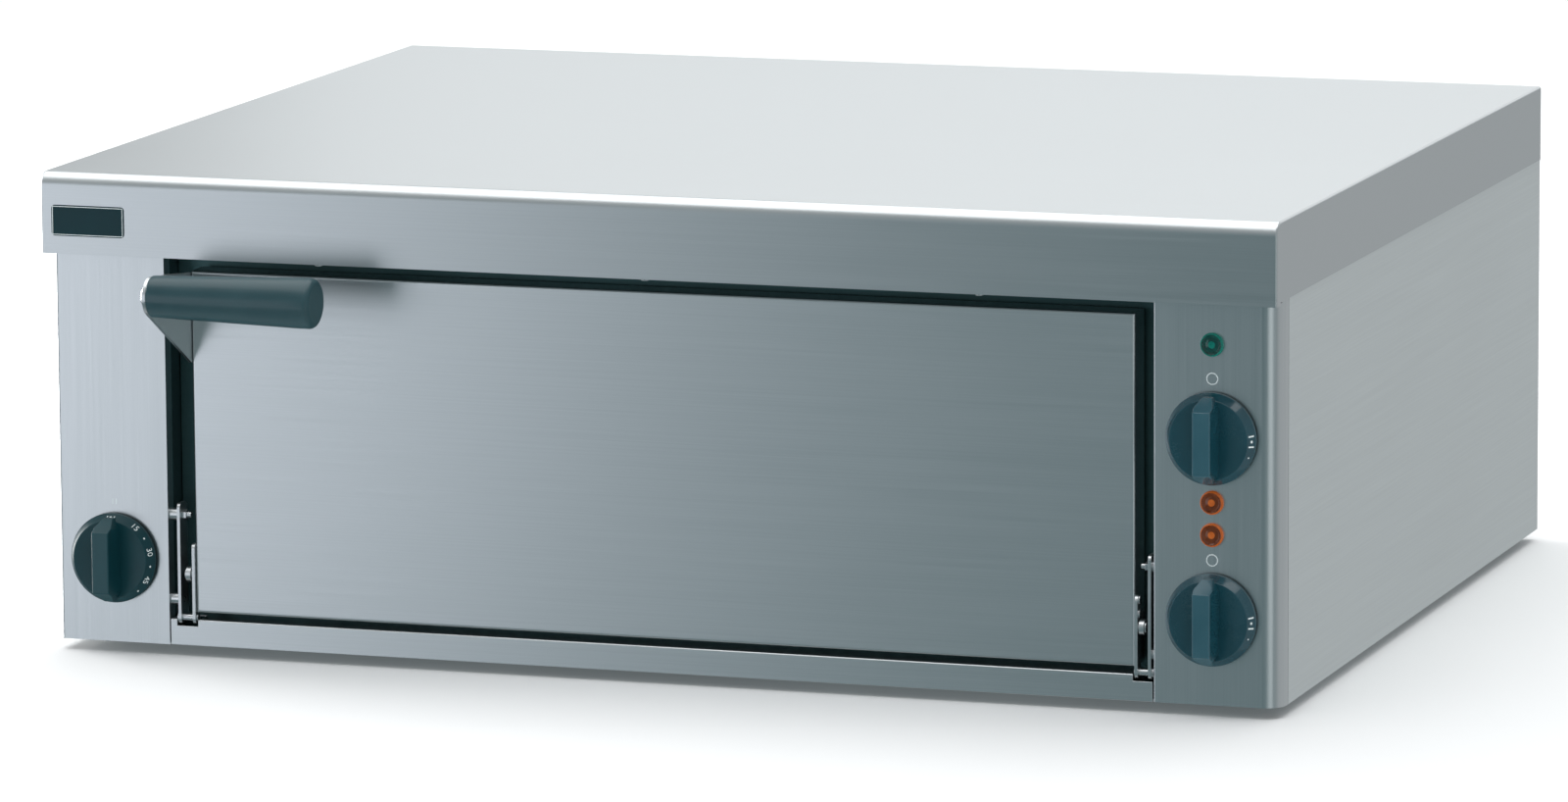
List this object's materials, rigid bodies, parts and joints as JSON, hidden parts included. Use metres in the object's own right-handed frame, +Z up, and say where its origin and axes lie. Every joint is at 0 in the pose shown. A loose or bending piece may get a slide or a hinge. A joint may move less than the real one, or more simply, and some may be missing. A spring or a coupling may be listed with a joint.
{
  "type": "deck oven",
  "caption": "Single-deck electric counter oven for pizza and bread: steel hood, drop-down door with side handle, timer dial, two heat dials and lamps.",
  "frame": {"origin": "middle of the overall box on the surface that the feet stand on", "axes": "+X to the right seen from the front, +Y to the rear, +Z up"},
  "size_m": [1.01, 0.9257, 0.386],
  "materials": {
    "brushed_stainless": "satin",
    "inner_steel": "satin",
    "chamber_steel": "matte",
    "fastener_steel": "polished",
    "hinge_steel": "satin",
    "element_sheath": "matte",
    "refractory_stone": "matte",
    "mineral_wool": "matte",
    "seal_rope": "matte",
    "ceramic_white": "satin",
    "knob_plastic": "satin",
    "grip_plastic": "satin",
    "badge_slate": "satin",
    "green_lens": "gloss",
    "amber_lens": "gloss",
    "foot_rubber": "matte",
    "control_plastic": "satin",
    "gland_plastic": "satin",
    "copper_tube": "satin",
    "spring_steel": "satin"
  },
  "bodies": {
    "chassis": {"top_hood": "brushed_stainless", "left_front_panel": "brushed_stainless", "right_front_panel": "brushed_stainless", "bottom_front_rail": "brushed_stainless", "left_side_panel": "brushed_stainless", "right_side_panel": "brushed_stainless", "rear_panel": "brushed_stainless", "base_tray": "inner_steel", "feet": "foot_rubber", "left_partition": "inner_steel", "right_partition": "inner_steel", "mouth_frame": "inner_steel", "lintel": "inner_steel", "badge_plate": "badge_slate", "hood_screws": "fastener_steel", "rear_screws": "fastener_steel", "chamber_floor": "chamber_steel", "chamber_roof": "chamber_steel", "chamber_side_walls": "chamber_steel", "chamber_back_wall": "chamber_steel", "stone_supports": "chamber_steel", "deck_stones": "refractory_stone", "upper_element": "element_sheath", "lower_element": "element_sheath", "element_supports": "chamber_steel", "element_terminals": "ceramic_white", "top_insulation": "mineral_wool", "bottom_insulation": "mineral_wool", "wall_insulation": "mineral_wool", "insulation_cover": "inner_steel", "door_seal": "seal_rope", "hinge_plates": "hinge_steel", "hinge_pins": "fastener_steel", "hinge_bolts": "fastener_steel", "stay_guides": "hinge_steel", "stay_springs": "spring_steel", "timer": "control_plastic", "thermostats": "control_plastic", "thermostat_capillaries": "copper_tube", "green_lamp": "green_lens", "amber_lamps": "amber_lens", "lamp_bodies": "control_plastic", "terminal_block": "ceramic_white", "cable_gland": "gland_plastic"},
    "door": {"door_outer_panel": "brushed_stainless", "door_inner_panel": "chamber_steel", "door_insulation": "mineral_wool", "door_arms": "hinge_steel", "door_side_screws": "fastener_steel", "handle_bracket": "brushed_stainless", "handle_grip": "grip_plastic", "handle_bolt": "fastener_steel"},
    "left_stay": {"left_stay_rod": "hinge_steel"},
    "right_stay": {"right_stay_rod": "hinge_steel"},
    "timer_dial": {"timer_knob": "knob_plastic", "timer_spindle": "fastener_steel"},
    "upper_heat_dial": {"upper_heat_knob": "knob_plastic", "upper_heat_spindle": "fastener_steel"},
    "lower_heat_dial": {"lower_heat_knob": "knob_plastic", "lower_heat_spindle": "fastener_steel"}
  },
  "joints": [
    {"name": "door_hinge", "type": "hinge", "parent": "chassis", "child": "door", "pos_m": [0, -0.36115, 0.031], "axis": [1, 0, 0], "range_deg": [0, 90], "stiffness_Nm_per_rad": 3, "springref_deg": -20.05, "deforming": ["stay_springs"]},
    {"name": "left_stay_pivot", "type": "hinge", "parent": "door", "child": "left_stay", "pos_m": [-0.3926, -0.36115, 0.066], "axis": [1, 0, 0], "range_deg": [-79.54, 0]},
    {"name": "right_stay_pivot", "type": "hinge", "parent": "door", "child": "right_stay", "pos_m": [0.3926, -0.36115, 0.066], "axis": [1, 0, 0], "range_deg": [-79.54, 0]},
    {"name": "timer_turn", "type": "hinge", "parent": "chassis", "child": "timer_dial", "pos_m": [-0.455, -0.36715, 0.077], "axis": [0, 1, 0], "range_deg": [0, 300]},
    {"name": "upper_heat_turn", "type": "hinge", "parent": "chassis", "child": "upper_heat_dial", "pos_m": [0.4485, -0.36715, 0.216], "axis": [0, 1, 0], "range_deg": [0, 270]},
    {"name": "lower_heat_turn", "type": "hinge", "parent": "chassis", "child": "lower_heat_dial", "pos_m": [0.4485, -0.36715, 0.076], "axis": [0, 1, 0], "range_deg": [0, 270]}
  ],
  "couplings": [
    {"joint": "left_stay_pivot", "follows": "door_hinge", "ratio": -0.8832},
    {"joint": "right_stay_pivot", "follows": "door_hinge", "ratio": -0.8832}
  ]
}
